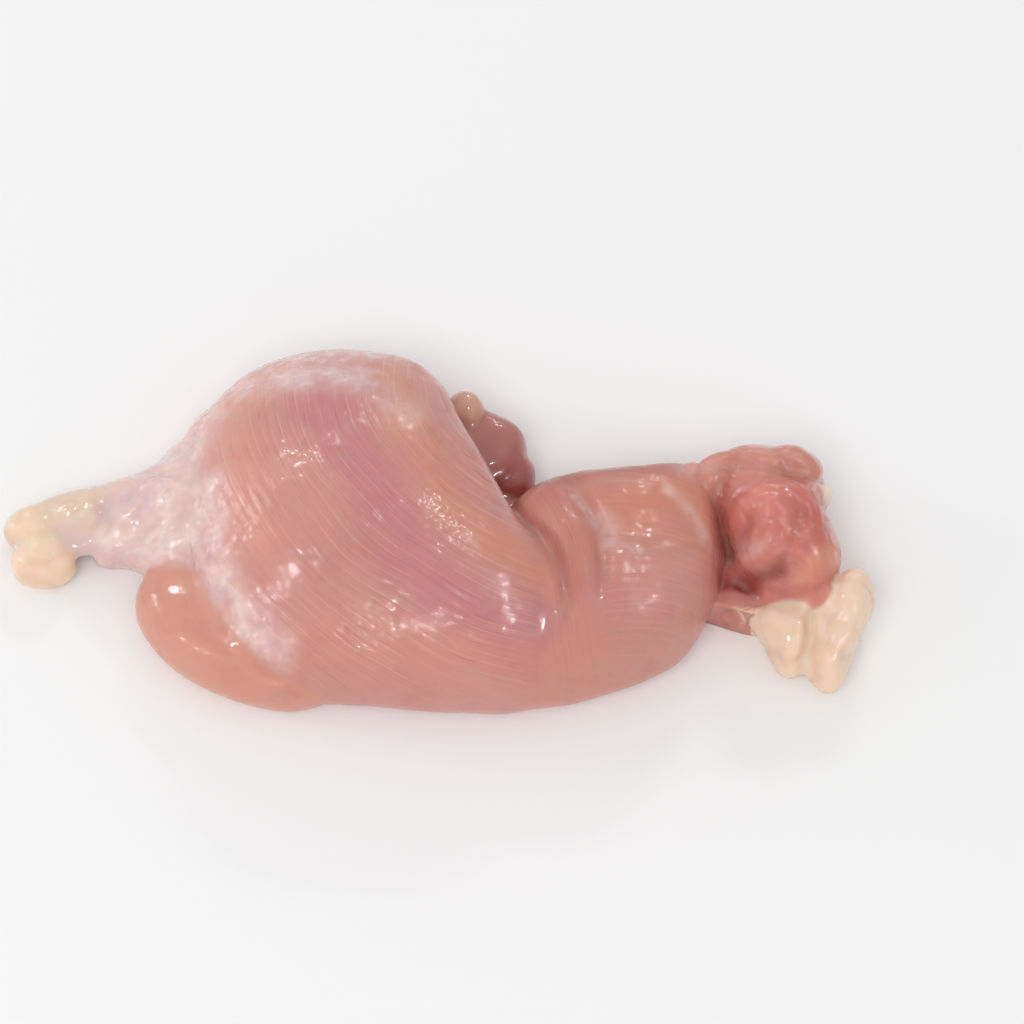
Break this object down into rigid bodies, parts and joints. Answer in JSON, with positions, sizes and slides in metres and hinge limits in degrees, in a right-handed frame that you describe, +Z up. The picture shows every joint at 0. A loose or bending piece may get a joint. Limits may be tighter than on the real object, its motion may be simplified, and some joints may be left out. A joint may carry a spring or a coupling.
{
  "type": "raw chicken thigh",
  "caption": "Raw boneless chicken thigh without skin: a domed slab of meat folded on an arm of muscle, with a torn end, a fat pad and a strap of tendon. It rests flat.",
  "frame": {"origin": "on the flat underside, below the middle of the bounding box", "axes": "+X along the length, from the strap of tendon to the fat pad; +Z up, away from the flat underside"},
  "size_m": [0.1378, 0.0632, 0.0271],
  "materials": {
    "raw_flesh": "wet raw poultry meat, pink and slightly see-through, with silvery membrane, pale tendon and cream fat"
  },
  "bodies": {
    "root": {"chicken_thigh": "raw_flesh"}
  },
  "joints": []
}
